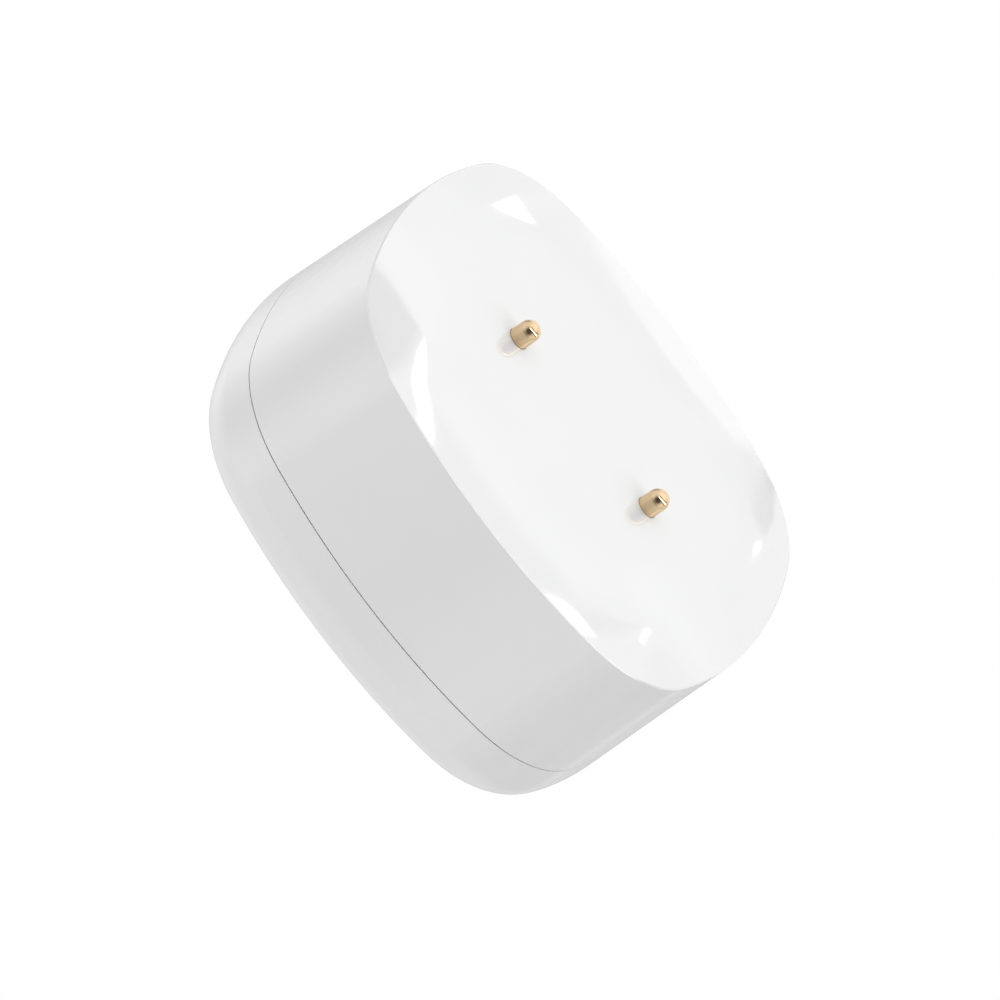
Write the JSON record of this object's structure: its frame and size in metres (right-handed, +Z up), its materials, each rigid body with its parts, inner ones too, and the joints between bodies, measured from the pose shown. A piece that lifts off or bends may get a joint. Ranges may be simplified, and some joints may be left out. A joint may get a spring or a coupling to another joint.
{
  "type": "water leak sensor",
  "caption": "Rounded-square puck that senses a water leak: glossy base with gold probe pins, matte housing, pull-off battery cover and a sprung pairing button on the board inside.",
  "frame": {"origin": "under the middle of the puck, at the level of the probe pin tips", "axes": "+Z up through the cover as the sensor is used, X along the line of the two probe pins"},
  "size_m": [0.045, 0.045, 0.0216],
  "materials": {
    "gloss_white": "polished white",
    "matte_white": "fine-textured off-white",
    "seal_grey": "soft dark grey",
    "probe_gold": "gold plated, polished",
    "contact_gold": "gold plated strip",
    "screw_steel": "zinc plated",
    "board_green": "solder mask",
    "holder_black": "black moulded",
    "cell_steel": "plain nickel-plated can",
    "clip_steel": "spring strip",
    "shield_tin": "tinned",
    "antenna_ceramic": "fired ceramic",
    "switch_black": "black moulded",
    "switch_white": "white moulded",
    "led_clear": "cast lens",
    "chip_black": "epoxy package",
    "capacitor_tan": "fired ceramic"
  },
  "bodies": {
    "sensor": {"base_cover": "gloss_white", "base_seal": "seal_grey", "housing": "matte_white", "probe_pin_left": "probe_gold", "probe_pin_right": "probe_gold", "probe_seals": "seal_grey", "probe_contacts": "contact_gold", "base_screws": "screw_steel", "circuit_board": "board_green", "board_screws": "screw_steel", "battery_holder": "holder_black", "battery_cell": "cell_steel", "battery_clip": "clip_steel", "battery_contact": "clip_steel", "radio_board": "board_green", "radio_shield": "shield_tin", "antenna": "antenna_ceramic", "switch_body": "switch_black", "status_led": "led_clear", "crystal": "shield_tin", "sensor_chip": "chip_black", "capacitors": "capacitor_tan"},
    "cover": {"top_cover": "matte_white", "cover_seal": "seal_grey"},
    "button": {"switch_plunger": "switch_white"}
  },
  "joints": [
    {"name": "cover_lift", "type": "slide", "parent": "sensor", "child": "cover", "axis": [0, 0, 1], "range_m": [0, 0.012]},
    {"name": "pairing_button", "type": "slide", "parent": "sensor", "child": "button", "axis": [0, 0, -1], "range_m": [0, 0.00025], "stiffness_N_per_m": 4000, "springref_m": -0.00015}
  ]
}
